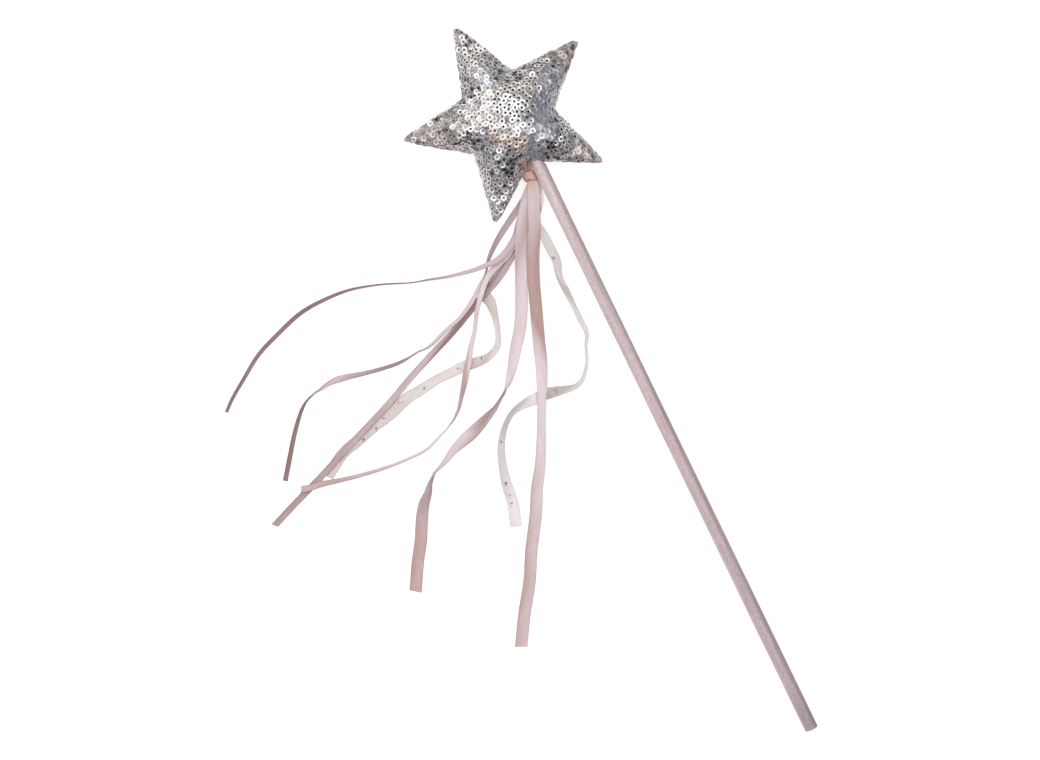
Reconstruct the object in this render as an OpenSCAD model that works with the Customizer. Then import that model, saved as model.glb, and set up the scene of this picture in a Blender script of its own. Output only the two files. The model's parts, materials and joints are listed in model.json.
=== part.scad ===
/* [Star] */
// Distance from the star's centre to the tip of each arm
star_r = 50; // [46:1:54]
// Distance from the star's centre to each notch between two arms
notch_r = 23; // [21:1:25]
// Bulge of the front above the seam
front_puff = 15; // [13:0.5:17]
// Bulge of the back below the seam, before the table flattens it
back_puff = 15; // [14:0.5:17]
// Height of the seam above the table
seam_z = 12.5; // [12:0.1:13]
// Anticlockwise turn of the star on the stick
star_turn = 4; // [2:0.5:6]
// Distance from the stick's axis to the star's centre, to the left
star_offset = 4; // [3.5:0.1:4.5]
// Thickness of the sequinned cloth
cloth_t = 1; // [0.8:0.1:1.2]

/* [Stick] */
// Diameter of the painted dowel
stick_d = 6.5; // [6.2:0.1:6.6]
// Length of the dowel that shows below the star
stick_out = 299; // [280:1:299]
// Length of the dowel inside the star
stick_in = 51; // [40:1:56]

/* [Ribbons] */
// Width of the two wide satin tails
wide_w = 6; // [5:0.1:6.2]
// Width of the four narrow satin tails
narrow_w = 3.2; // [2.8:0.1:3.4]
// Width of the two sheer tails
sheer_w = 5.6; // [5:0.1:5.8]
// Thickness of every tail
tail_t = 0.3; // [0.2:0.05:0.3]

/* [Hidden] */
$fn = 48;

// Frame: the wand lies on its back on z = 0, the star towards +Y.
half_len = 188;
arm_step = 72;
first_arm = 90 + star_turn;
tip_k = 0.985;
star_x = star_r * (cos(18 - star_turn) - cos(18 + star_turn)) / 2;
star_y = half_len - star_r * cos(star_turn);
stick_x = star_x + star_offset;

// The stick slopes from the butt, on the table, up to the star's seam.
stick_r = stick_d / 2;
butt_bevel = 0.4;
end_r = stick_r - 0.25;
slope = asin((seam_z - stick_r) / stick_out);

// Corner angle and share of the radius that round an arm's tip.
tip_half_angle = 1.8;
tip_side_k = 0.975;
side_steps = 4;

// Rings of the pillow from its centre to its seam, as shares of the outline.
ring_shares = [0.17, 0.35, 0.55, 0.74, 0.9, 1];
lining_k = 0.965;

// Overcast stitches along the seam, and the arm whose far side holds the mouth.
thread_r = 0.3;
stitch_h = 1.8;
stitches_per_side = 9;
mouth_arm = 2;
mouth_share = 0.3;
closing_h = 3;

// Knot that ties the tails, and the turning point of the tails.
knot_x = -1;
knot_y = 109;
knot_z = 9;
knot_r = 3;
knot_len = 6.4;
knot_round = 1.4;
root_w = 4.2;
root_t = 2.8;
root_len = 9;

// Glue around the stick, from the mouth inwards.
glue_start = 12;
glue_len = 14;
glue_r = 5.2;

// Routes of the tails: x, y and height of the middle of the ribbon, and its turn
// about its own length, 0 when it lies flat and 90 when it stands on its edge.
route_wide_long = [
    [-1.5, 104, 10.2, 0], [-5, 96, 9.1, 0], [-10, 85, 7.4, 0], [-16, 74, 5.6, 0],
    [-21, 63, 4, 5], [-26, 50, 3, 5], [-31, 37, 2.9, 0], [-35, 26, 3.3, -15],
    [-39, 17, 3.9, -33], [-43, 9, 3.9, -45], [-48, -1, 3, -45], [-52, -9, 2.3, -40],
    [-57, -18, 1.9, -32], [-63, -27, 1.2, -18], [-69, -38, 0.5, 0], [-78, -52, 0.5, 5],
    [-86, -66, 0.5, 5], [-95, -79, 0.4, 0], [-103, -92, 0.3, 0]
];
route_wide_twisted = [
    [-2, 104, 9.7, 0], [-8, 98, 8.5, 0], [-15, 88, 6.7, 0], [-21, 77, 4.7, 5],
    [-30, 58, 2.9, 0], [-36, 47, 2, -10], [-42, 39, 2, -22], [-48, 31, 2.5, -38],
    [-53, 25, 3, -62], [-57, 21, 3.2, -90], [-63, 17, 3.1, -110], [-70, 14, 2.5, -133],
    [-78, 11, 1.2, -165], [-85, 9, 1.7, -207], [-91, 7, 2.4, -228], [-97, 4, 2.9, -245],
    [-103, 2, 3.2, -265], [-107, -1, 3.1, -285], [-111, -6, 2.6, -308],
    [-115, -10, 1.7, -330], [-119, -16, 0.9, -348], [-124, -25, 0.4, -357],
    [-130, -34, 0.3, -360], [-137, -46, 0.3, -360]
];
route_narrow_far = [
    [-1.5, 104, 8.8, 0], [-11, 95, 7.2, 0], [-21, 85, 5.2, 0], [-31, 80, 5.2, -20],
    [-41, 80, 4.9, -45], [-48, 81, 3.9, -52], [-57, 83, 2.8, -65], [-67, 86, 2, -75],
    [-74, 88, 1.8, -85], [-89, 94, 1.8, -100], [-103, 98, 1.8, -110], [-117, 99, 1.7, -120],
    [-129, 98, 1.6, -125], [-142, 94, 1.6, -125], [-155, 89, 1.6, -122],
    [-166, 82, 1.7, -118], [-175, 76, 1.7, -115], [-181, 71, 1.7, -112]
];
route_narrow_swept = [
    [-2.5, 104, 7.9, 0], [-10, 99, 6.7, 5], [-17, 95, 5.8, 13], [-24, 91, 4.6, 25],
    [-30, 87, 3.4, 40], [-36, 82, 2.3, 60], [-40, 77, 1.7, 85], [-45, 73, 1.6, 115],
    [-51, 68, 1.6, 133], [-60, 63, 1.7, 124], [-70, 60, 1.6, 125], [-79, 57, 1.7, 115],
    [-86, 57, 1.8, 92], [-95, 56, 1.6, 64], [-104, 57, 1.5, 57], [-114, 59, 1.4, 48],
    [-122, 61, 0.9, 22], [-129, 62, 1.2, -35], [-136, 61, 1.7, -68], [-141, 60, 1.8, -90],
    [-147, 57, 1.7, -113], [-153, 51, 1.5, -124], [-158, 45, 1.5, -128],
    [-164, 37, 1.4, -132], [-170, 29, 1.4, -132]
];
route_narrow_straight = [
    [-1, 104, 7.4, 0], [-10, 95, 5.7, 0], [-19, 85, 3.8, 0], [-27, 77, 2.7, 0],
    [-37, 71, 2, 5], [-47, 67, 1.7, 12], [-67, 58, 1, 18], [-80, 53, 1, 12],
    [-95, 47, 0.9, 5], [-106, 42, 0.9, 0], [-121, 36, 0.9, 0], [-137, 30, 0.9, 0],
    [-152, 24, 0.9, 0], [-160, 21, 0.8, 0], [-171, 17, 0.4, 0], [-184, 12, 0.3, 0]
];
route_narrow_crossing = [
    [-1, 104, 8.4, 0], [-11, 94, 6.5, 0], [-19, 86, 5.1, 0], [-27, 80, 4.2, -5],
    [-35, 77, 3.8, -15], [-42, 73, 3.6, -30], [-51, 63, 3.3, -48], [-57, 54, 2.6, -52],
    [-61, 49, 3, -45], [-66, 42, 3.4, -20], [-72, 34, 2.9, 25], [-76, 29, 2.3, 50],
    [-81, 23, 1.9, 65], [-87, 19, 1.8, 85], [-94, 16, 1.7, 105], [-103, 13, 1.7, 110],
    [-115, 13, 1.6, 112], [-126, 14, 1.6, 118], [-138, 16, 1.5, 124], [-147, 18, 1.7, 130],
    [-155, 20, 2.1, 150], [-161, 21, 2, 170], [-165, 22, 1.5, 175]
];
route_sheer_inner = [
    [-1, 103.5, 6.9, 0], [-11, 94, 4.7, 0], [-21, 83, 3, 0], [-31, 76, 1.4, 0],
    [-44, 69, 0.6, -5], [-44, 63, 1.4, -25], [-45, 56, 2.5, -55], [-47, 49, 2.7, -63],
    [-50, 43, 2.6, -57], [-56, 40, 2.4, -50], [-62, 40, 1.6, -30], [-69, 41, 1.2, -20],
    [-75, 41, 1.6, -28], [-83, 41, 1.8, -35], [-92, 40, 1.2, -20], [-101, 39, 0.6, -7],
    [-110, 36, 0.3, 0], [-120, 34, 0.3, 0], [-131, 31, 0.3, 0], [-139, 29, 0.3, 0],
    [-146, 25, 0.3, 0], [-151, 22, 0.3, 0]
];
route_sheer_outer = [
    [-0.5, 104, 9.3, 0], [-2, 98, 8.4, 0], [-4.5, 93, 6.2, -45], [-6, 89, 5.2, -90],
    [-7, 85, 4.7, -120], [-7, 81, 4.1, -140], [-7, 74, 3.5, -148], [-7, 67, 2.5, -142],
    [-9, 60, 2.4, -127], [-9, 52, 2.5, -127], [-9, 44, 2.6, -118], [-9, 37, 2.6, -122],
    [-9, 30, 2.7, -115], [-12, 24, 2.8, -106], [-15, 17, 2.8, -107], [-20, 11, 2.8, -112],
    [-25, 9, 2.7, -118], [-31, 10, 2.2, -135], [-35, 11, 1.4, -155], [-40, 12, 0.5, -175],
    [-45, 12, 0.8, -168], [-51, 12, 2, -140], [-57, 11, 2.6, -120], [-62, 8, 2.7, -118],
    [-66, 4, 2.6, -122], [-70, -2, 2.4, -130], [-73, -10, 2.1, -138], [-75, -18, 1.6, -150],
    [-76, -25, 0.8, -168], [-77, -30, 0.4, -180], [-80, -39, 0.3, -180]
];

// Outline of the star about its centre: ten straight sides and rounded tips.
function polar(r, a) = [r * cos(a), r * sin(a)];
function side_points(from, to) = [
    for (i = [1 : side_steps - 1]) from + (to - from) * i / side_steps
];
function arm_outline(a) =
    let (notch = polar(notch_r, a - arm_step / 2),
         next = polar(notch_r, a + arm_step / 2),
         low = polar(star_r * tip_side_k, a - tip_half_angle),
         high = polar(star_r * tip_side_k, a + tip_half_angle))
    concat([notch], side_points(notch, low), [low, polar(star_r, a), high],
        side_points(high, next));
outline = [for (k = [0 : 4]) each arm_outline(first_arm + k * arm_step)];

// Height of the pillow at a share of the outline, 1 at the centre and 0 at the seam.
function dome(share) = pow(1 - pow(share, 1.3), 0.8);
function front_z(share, skin) = seam_z + (front_puff - skin) * dome(share);
function back_z(share, skin) = max(skin, seam_z - (back_puff - skin) * dome(share));
function ring(share, z) = [
    for (p = outline) [star_x + p[0] * share, star_y + p[1] * share, z]
];
function centre(z) = [star_x, star_y, z];
function front_rings(skin, k) = [
    for (s = ring_shares) ring(s * k, front_z(s, skin))
];
function back_rings(skin, k) = [
    for (s = ring_shares) ring(s * k, back_z(s, skin))
];
function reversed(list) = [for (i = [len(list) - 1 : -1 : 0]) list[i]];

// Closed solid from a stack of rings between two poles.
module ring_stack(top, rings, bottom) {
    n = len(rings[0]);
    m = len(rings);
    last = 1 + n * m;
    points = concat([top], [for (r = rings) each r], [bottom]);
    sides = [
        for (i = [0 : m - 2], j = [0 : n - 1])
            let (a = 1 + i * n + j, b = 1 + i * n + (j + 1) % n)
            each [[a, b, b + n], [a, b + n, a + n]]
    ];
    caps = [
        for (j = [0 : n - 1])
            let (k = (j + 1) % n)
            each [[0, 1 + k, 1 + j], [last - n + j, last - n + k, last]]
    ];
    polyhedron(points, concat(sides, caps));
}

// Flat ribbon swept along a route: each ring is a thin strip with eased edges.
function along(route, i) =
    let (a = route[max(i - 1, 0)], b = route[min(i + 1, len(route) - 1)],
         d = [b[0] - a[0], b[1] - a[1], b[2] - a[2]])
    d / norm(d);
function strip_ring(route, i, w) =
    let (t = along(route, i),
         s = [t[1], -t[0], 0] / norm([t[0], t[1]]),
         u = cross(s, t),
         a = route[i][3],
         across = s * cos(a) + u * sin(a),
         face = u * cos(a) - s * sin(a),
         p = [route[i][0], route[i][1], route[i][2]],
         e = tail_t / 4)
    [for (c = [[w / 2, e], [w / 2 - e, 2 * e], [e - w / 2, 2 * e], [-w / 2, e],
               [-w / 2, -e], [e - w / 2, -2 * e], [w / 2 - e, -2 * e], [w / 2, -e]])
        p + across * c[0] + face * c[1]];
module tail(route, w) {
    m = len(route);
    points = [for (i = [0 : m - 1]) each strip_ring(route, i, w)];
    // Both faces of the ribbon are split along the same diagonal, so a twist keeps them apart.
    sides = [
        for (i = [0 : m - 2], j = [0 : 7])
            let (a = 8 * i + j, b = 8 * i + (j + 1) % 8)
            each j > 3 && j < 7
                ? [[a, b, a + 8], [b, b + 8, a + 8]]
                : [[a, b, b + 8], [a, b + 8, a + 8]]
    ];
    first = [[for (j = [7 : -1 : 0]) j]];
    last = [[for (j = [0 : 7]) 8 * (m - 1) + j]];
    polyhedron(points, concat(sides, first, last));
}

// Places a child at a distance along the stick from its butt, +Z towards the star.
module on_stick(distance) {
    translate([stick_x, -half_len, stick_r * cos(slope)])
        rotate([slope - 90, 0, 0])
            translate([0, 0, distance]) children();
}
module stick_end_shape() {
    on_stick(stick_out) cylinder(r = end_r, h = stick_in);
}
module glue_shape() {
    on_stick(stick_out + glue_start) cylinder(r = glue_r, h = glue_len);
}
module root_shape() {
    translate([knot_x - root_w / 2, knot_y + knot_len / 2, knot_z + 0.8])
        cube([root_w, root_len, root_t]);
}
module mouth_cut() {
    stick_end_shape();
    root_shape();
}

// Painted wooden dowel, bevelled at the butt, thinner where it sits in the star.
module stick() {
    color([0.8, 0.7, 0.72]) {
        on_stick(0) cylinder(r1 = stick_r - butt_bevel, r2 = stick_r, h = butt_bevel);
        on_stick(butt_bevel) cylinder(r = stick_r, h = stick_out - butt_bevel);
        stick_end_shape();
    }
}
module glue_plug() {
    color([0.9, 0.88, 0.8]) difference() {
        glue_shape();
        on_stick(0) cylinder(r = end_r, h = stick_out + stick_in);
    }
}
module star_stuffing() {
    color([0.95, 0.95, 0.93]) difference() {
        ring_stack(centre(front_z(0, cloth_t)),
            concat(front_rings(cloth_t, lining_k),
                [for (r = reversed(back_rings(cloth_t, lining_k))) if (r[0][2] < seam_z) r]),
            centre(cloth_t));
        mouth_cut();
        glue_shape();
    }
}
module star_back() {
    color([0.62, 0.6, 0.62]) difference() {
        ring_stack(centre(cloth_t),
            concat(back_rings(cloth_t, lining_k), reversed(back_rings(0, 1))),
            centre(0));
        mouth_cut();
    }
}
module star_front() {
    color([0.75, 0.74, 0.75]) difference() {
        ring_stack(centre(front_z(0, 0)),
            concat(front_rings(0, 1), reversed(front_rings(cloth_t, lining_k))),
            centre(front_z(0, cloth_t)));
        mouth_cut();
    }
}

// Upright loops of thread against the seam, on the straight sides of the outline.
module stitch(from, to, share, h) {
    d = (to - from) / norm(to - from);
    p = from + (to - from) * share + [d[1], -d[0]] * thread_r;
    translate([star_x + p[0], star_y + p[1], seam_z - h / 2])
        cylinder(r = thread_r, h = h, $fn = 16);
}
module stitched_sides(arms, h) {
    for (k = arms, i = [0 : stitches_per_side - 1]) {
        a = first_arm + k * arm_step;
        share = 0.06 + 0.9 * i / (stitches_per_side - 1);
        clear_of_mouth = share > mouth_share;
        if (k != mouth_arm + 1 || clear_of_mouth)
            stitch(polar(notch_r, a - arm_step / 2),
                polar(star_r * tip_side_k, a - tip_half_angle), share, h);
        if (k != mouth_arm || clear_of_mouth)
            stitch(polar(star_r * tip_side_k, a + tip_half_angle),
                polar(notch_r, a + arm_step / 2), 1 - share, h);
    }
}
module seam_stitches() {
    color([0.9, 0.86, 0.84]) stitched_sides([0 : 4], stitch_h);
}
module closing_stitches() {
    color([0.88, 0.8, 0.78]) {
        a = first_arm + (mouth_arm + 0.5) * arm_step;
        mouth = polar(notch_r, a);
        left_tip = polar(star_r * tip_side_k, a - arm_step / 2 + tip_half_angle);
        right_tip = polar(star_r * tip_side_k, a + arm_step / 2 - tip_half_angle);
        stitch(left_tip, mouth, 1 - mouth_share + 0.05, closing_h);
        stitch(mouth, right_tip, mouth_share - 0.06, closing_h);
    }
}

// Folded upper ends of the tails, glued in the mouth beside the stick.
module ribbon_root() {
    color([0.75, 0.56, 0.53]) root_shape();
}
// Turn of ribbon that binds the tails together below the mouth.
module ribbon_knot() {
    color([0.74, 0.55, 0.52])
        translate([knot_x, knot_y + knot_len / 2, knot_z]) rotate([90, 0, 0])
            rotate_extrude() {
                square([knot_r - knot_round, knot_len]);
                translate([0, knot_round]) square([knot_r, knot_len - 2 * knot_round]);
                intersection() {
                    square([knot_r, knot_len]);
                    for (y = [knot_round, knot_len - knot_round])
                        translate([knot_r - knot_round, y]) circle(r = knot_round, $fn = 32);
                }
            }
}

module wide_tail_long() { color([0.86, 0.77, 0.78]) tail(route_wide_long, wide_w); }
module wide_tail_twisted() { color([0.86, 0.78, 0.8]) tail(route_wide_twisted, wide_w); }
module narrow_tail_far() { color([0.6, 0.53, 0.52]) tail(route_narrow_far, narrow_w); }
module narrow_tail_swept() { color([0.78, 0.66, 0.68]) tail(route_narrow_swept, narrow_w); }
module narrow_tail_straight() { color([0.7, 0.6, 0.62]) tail(route_narrow_straight, narrow_w); }
module narrow_tail_crossing() { color([0.84, 0.76, 0.8]) tail(route_narrow_crossing, narrow_w); }
module sheer_tail_inner() { color([0.87, 0.84, 0.82]) tail(route_sheer_inner, sheer_w); }
module sheer_tail_outer() { color([0.88, 0.85, 0.83]) tail(route_sheer_outer, sheer_w); }

stick();
glue_plug();
star_stuffing();
star_back();
star_front();
seam_stitches();
closing_stitches();
ribbon_root();
ribbon_knot();
wide_tail_long();
wide_tail_twisted();
narrow_tail_far();
narrow_tail_swept();
narrow_tail_straight();
narrow_tail_crossing();
sheer_tail_inner();
sheer_tail_outer();
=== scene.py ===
"""A child's fairy wand: a stuffed star covered with silver sequins, on a painted stick,
with a bunch of ribbon tails tied below it."""

import json
import math

import bpy
import numpy as np
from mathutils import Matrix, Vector
from mathutils.geometry import delaunay_2d_cdt


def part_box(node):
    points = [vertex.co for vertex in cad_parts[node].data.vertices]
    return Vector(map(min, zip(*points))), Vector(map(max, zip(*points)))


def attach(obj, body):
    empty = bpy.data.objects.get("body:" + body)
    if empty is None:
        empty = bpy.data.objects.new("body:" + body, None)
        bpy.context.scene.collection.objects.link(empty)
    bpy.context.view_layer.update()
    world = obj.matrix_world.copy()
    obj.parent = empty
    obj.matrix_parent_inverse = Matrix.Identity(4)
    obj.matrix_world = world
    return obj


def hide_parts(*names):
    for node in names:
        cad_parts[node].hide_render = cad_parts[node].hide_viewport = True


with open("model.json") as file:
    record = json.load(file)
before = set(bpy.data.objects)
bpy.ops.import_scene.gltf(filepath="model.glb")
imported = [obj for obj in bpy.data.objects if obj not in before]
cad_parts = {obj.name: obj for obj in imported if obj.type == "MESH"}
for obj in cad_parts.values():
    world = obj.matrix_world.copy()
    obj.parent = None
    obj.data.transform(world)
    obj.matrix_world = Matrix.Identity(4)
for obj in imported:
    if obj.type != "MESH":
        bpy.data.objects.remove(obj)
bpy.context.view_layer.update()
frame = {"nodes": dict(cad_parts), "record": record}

MM = 0.001
UP = np.array([0.0, 0.0, 1.0])
WAND, TAILS = "wand", "ribbon_tails"
KNOT = np.array([-1.0, 109.0, 9.0])  # its middle, in millimetres


# ---- stage

PHOTO_ROLL = math.radians(-25.9)
VIEW_CENTRE = Vector((-47.6, 23.4, 0)) * MM
VIEW_WIDTH = 499.2 * MM
CAMERA_HEIGHT = 1.5
SENSOR = 36.0
FLOOR_SIZE = 8.0


def add_camera():
    data = bpy.data.cameras.new("camera")
    data.sensor_width = SENSOR
    data.lens = SENSOR * CAMERA_HEIGHT / VIEW_WIDTH
    cam = bpy.data.objects.new("camera", data)
    cam.location = VIEW_CENTRE + Vector((0, 0, CAMERA_HEIGHT))
    cam.rotation_euler = (0, 0, PHOTO_ROLL)
    bpy.context.scene.collection.objects.link(cam)
    bpy.context.scene.camera = cam


def in_view(right, up, height):
    """A point given in the camera's own directions from the middle of the view, in metres."""
    c, s = math.cos(PHOTO_ROLL), math.sin(PHOTO_ROLL)
    return VIEW_CENTRE + Vector((right * c - up * s, right * s + up * c, height))


def add_softbox(name, right, up, height, size, watts, colour=(1, 1, 1)):
    data = bpy.data.lights.new(name, "AREA")
    data.shape = "RECTANGLE"
    data.size, data.size_y = size
    data.energy = watts
    data.color = colour
    lamp = bpy.data.objects.new(name, data)
    lamp.location = in_view(right, up, height)
    lamp.rotation_mode = "QUATERNION"
    lamp.rotation_quaternion = (VIEW_CENTRE - lamp.location).to_track_quat("-Z", "Y")
    bpy.context.scene.collection.objects.link(lamp)


# ---- materials


class Nodes:
    """The node tree of a material or a world, built with one short call for each node."""

    def __init__(self, owner, shader):
        owner.use_nodes = True
        self.owner = owner
        self.tree = owner.node_tree
        self.shader = self.tree.nodes[shader]

    def feed(self, socket, value):
        if isinstance(value, bpy.types.NodeSocket):
            self.tree.links.new(value, socket)
        else:
            socket.default_value = value

    def add(self, kind, inputs=None, **settings):
        node = self.tree.nodes.new(kind)
        for key, value in settings.items():
            setattr(node, key, value)
        for key, value in (inputs or {}).items():
            self.feed(node.inputs[key], value)
        return node

    def place(self):
        return self.add("ShaderNodeTexCoord").outputs["Object"]

    def attribute(self, name):
        return self.add("ShaderNodeAttribute", attribute_name=name).outputs

    def ribbon_uv(self):
        """Across and along a ribbon, in millimetres."""
        return self.add("ShaderNodeUVMap", uv_map="ribbon").outputs["UV"]

    def math(self, operation, a, b, clamp=False):
        return self.add("ShaderNodeMath", {0: a, 1: b}, operation=operation, use_clamp=clamp).outputs[0]

    def scaled(self, value, factor, base):
        """The value times a factor, plus a base."""
        return self.math("ADD", self.math("MULTIPLY", value, factor), base)

    def swayed(self, tone, cloud, much):
        """A tone from 0 to 1 that a noise lifts and lowers."""
        sway = self.math("MULTIPLY", self.math("SUBTRACT", cloud, 0.5), much)
        return self.math("ADD", tone, sway, clamp=True)

    def fade(self, value, start, end, low=0, high=1):
        """Goes from low to high while the value goes from start to end."""
        return self.add("ShaderNodeMapRange", {0: value, 1: start, 2: end, 3: low, 4: high}).outputs[0]

    def ramp(self, value, *stops):
        """Linear colours along a value; a stop is its place, then one grey or red, green and blue."""
        node = self.add("ShaderNodeValToRGB", {"Fac": value})
        elements = node.color_ramp.elements
        while len(elements) < len(stops):
            elements.new(0.5)
        for element, (place, *colour) in zip(elements, stops):
            element.position = place
            element.color = (*(colour * 3)[:3], 1)
        return node.outputs["Color"]

    def colours(self, value, *stops):
        """A ramp whose stops are written in sRGB, 0 to 255."""
        return self.ramp(value, *((place, *rgb(*colour)) for place, *colour in stops))

    def mix(self, factor, a, b, blend="MIX"):
        node = self.add("ShaderNodeMix", {0: factor, 6: a, 7: b}, data_type="RGBA", blend_type=blend)
        return node.outputs[2]

    def shade(self, share, colour, value, low, dark, high, light=(255, 255, 255)):
        """Darkens a colour where the value is low."""
        return self.mix(share, colour, self.colours(value, (low, *dark), (high, *light)), "MULTIPLY")

    def noise(self, vector, scale, detail=2, rough=0.5, stretch=None):
        if stretch:
            vector = self.add("ShaderNodeMapping", {"Vector": vector, "Scale": stretch}).outputs["Vector"]
        inputs = {"Vector": vector, "Scale": scale, "Detail": detail, "Roughness": rough}
        return self.add("ShaderNodeTexNoise", inputs).outputs["Fac"]

    def wave(self, vector, direction, scale, distortion, **more):
        inputs = {"Vector": vector, "Scale": scale, "Distortion": distortion, **more}
        return self.add("ShaderNodeTexWave", inputs, bands_direction=direction).outputs["Fac"]

    def bump(self, height, strength, distance):
        inputs = {"Height": height, "Strength": strength, "Distance": distance}
        return self.add("ShaderNodeBump", inputs).outputs["Normal"]

    def set(self, **inputs):
        for key, value in inputs.items():
            self.feed(self.shader.inputs[key.replace("_", " ")], value)
        return self.owner


def rgb(r, g, b):
    """Linear colour from an sRGB one written in 0 to 255."""
    def linear(v):
        v /= 255
        return v / 12.92 if v <= 0.04045 else ((v + 0.055) / 1.055) ** 2.4
    return tuple(linear(v) for v in (r, g, b))


def rgba(r, g, b):
    return (*rgb(r, g, b), 1)


def new_material(name):
    return Nodes(bpy.data.materials.new(name), "Principled BSDF")


def sequin_material():
    """Foil in each sequin's tint, which holds painted reflections: painted shade in the hole, a duller dish,
    a painted highlight on the rim and a thin painted shadow as its outline.
    """
    n = new_material("sequin_foil")
    tint = n.attribute("tint")
    across = n.attribute("across")["Fac"]
    # Painted light across each sequin: near black painted shade in the hole, a painted highlight on the rim
    # and a thin painted shadow at its outer edge.
    painted_rim_light = n.ramp(
        across, (0, 0.02), (0.14, 0.1), (0.26, 0.7), (0.55, 0.85), (0.75, 1), (0.9, 0.8),
        (1, 0.12, 0.12, 0.13),
    )
    colour = n.mix(tint["Alpha"], tint["Color"], n.mix(1, tint["Color"], painted_rim_light, "MULTIPLY"))
    scuff = n.noise(n.place(), 1400, 3)
    colour = n.shade(0.3, colour, scuff, 0.35, (130, 126, 128), 0.65)
    dish = n.ramp(across, (0, 0), (0.4, 0.2), (0.8, 1), (1, 0.3))
    return n.set(
        Base_Color=colour, Roughness=n.scaled(scuff, 0.25, 0.24), Metallic=1,
        Normal=n.bump(dish, 0.35, 0.0001),
    )


def cloth_material():
    n = new_material("ground_cloth")
    place = n.place()
    net = n.add("ShaderNodeTexVoronoi", {"Vector": place, "Scale": 1600}).outputs["Distance"]
    slub = n.noise(place, 120, 3)
    speck = n.noise(place, 1100, 2, 0.8)
    colour = n.colours(slub, (0.3, 186, 178, 174), (0.7, 218, 208, 202))
    colour = n.mix(n.math("MULTIPLY", net, 0.4), colour, rgba(130, 122, 122))
    colour = n.shade(0.6, colour, speck, 0.4, (130, 124, 124), 0.6)
    return n.set(Base_Color=colour, Roughness=0.85, Sheen_Weight=0.3, Normal=n.bump(net, 0.5, 0.0002))


def thread_material():
    n = new_material("thread")
    twist = n.wave(n.place(), "DIAGONAL", 900, 1)
    colour = n.colours(twist, (0, 196, 174, 164), (1, 236, 222, 212))
    return n.set(Base_Color=colour, Roughness=0.7, Sheen_Weight=0.2, Normal=n.bump(twist, 0.4, 0.0001))


def fibre_material():
    n = new_material("stuffing_fibre")
    fibre = n.noise(n.place(), 700, 5, 0.7, stretch=(1, 0.25, 1))
    colour = n.colours(fibre, (0.3, 205, 203, 198), (0.7, 243, 242, 238))
    return n.set(Base_Color=colour, Roughness=0.95, Sheen_Weight=0.4, Normal=n.bump(fibre, 0.8, 0.0004))


def glue_material():
    n = new_material("glue")
    cloud = n.noise(n.place(), 260)
    colour = n.colours(cloud, (0.3, 205, 192, 160), (0.7, 232, 224, 200))
    return n.set(Base_Color=colour, Roughness=0.3, Normal=n.bump(cloud, 0.3, 0.0003))


def paint_material():
    """Dusty pink paint on a turned dowel: grain streaks, painted light along its left side and painted shade
    along its right, and darker at its butt.
    """
    n = new_material("painted_wood")
    place = n.place()
    x, along, _ = n.add("ShaderNodeSeparateXYZ", {0: place}).outputs
    aside = n.fade(x, STICK_X - STICK_R, STICK_X + STICK_R)
    toward_butt = n.fade(along, 0.12, -0.19)
    grain = n.noise(place, 1500, 4, 0.65, stretch=(1, 0.012, 1))
    streak = n.noise(place, 420, 3, 0.6, stretch=(1, 0.03, 1))
    cloud = n.noise(place, 60, stretch=(1, 0.25, 1))
    mottle = n.noise(place, 1300, 3, 0.7, stretch=(1, 0.5, 1))
    colour = n.colours(streak, (0.25, 186, 170, 170), (0.55, 202, 188, 188), (0.8, 216, 204, 203))
    # The colour darkens towards the butt.
    colour = n.mix(toward_butt, colour, n.colours(streak, (0.25, 150, 134, 139), (0.8, 182, 166, 170)))
    colour = n.shade(0.3, colour, grain, 0.35, (160, 140, 142), 0.65, (255, 250, 250))
    colour = n.mix(n.math("MULTIPLY", cloud, 0.2), colour, rgba(176, 152, 156))
    colour = n.shade(0.4, colour, mottle, 0.4, (196, 180, 182), 0.6)
    # Painted light and shade across the stick: lighter along its left side, darker along its right; the
    # constant factor below lifts the whole colour back up.
    painted_side_light = n.ramp(aside, (0, 1), (0.12, 0.8), (0.6, 0.76), (1, 0.5, 0.49, 0.49))
    butt = n.fade(along, -0.165, -0.18, 1, 0.8)
    butt_grey = n.add("ShaderNodeCombineXYZ", {0: butt, 1: butt, 2: butt}).outputs[0]
    brighter = (1.42, 1.41, 1.41, 1)
    for factor in (painted_side_light, brighter, butt_grey):
        colour = n.mix(1, colour, factor, "MULTIPLY")
    return n.set(
        Base_Color=colour, Roughness=n.scaled(streak, 0.25, 0.38), Coat_Weight=0.1, Coat_Roughness=0.35,
        Normal=n.bump(n.scaled(grain, 0.6, streak), 0.35, 0.00012),
    )


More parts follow.
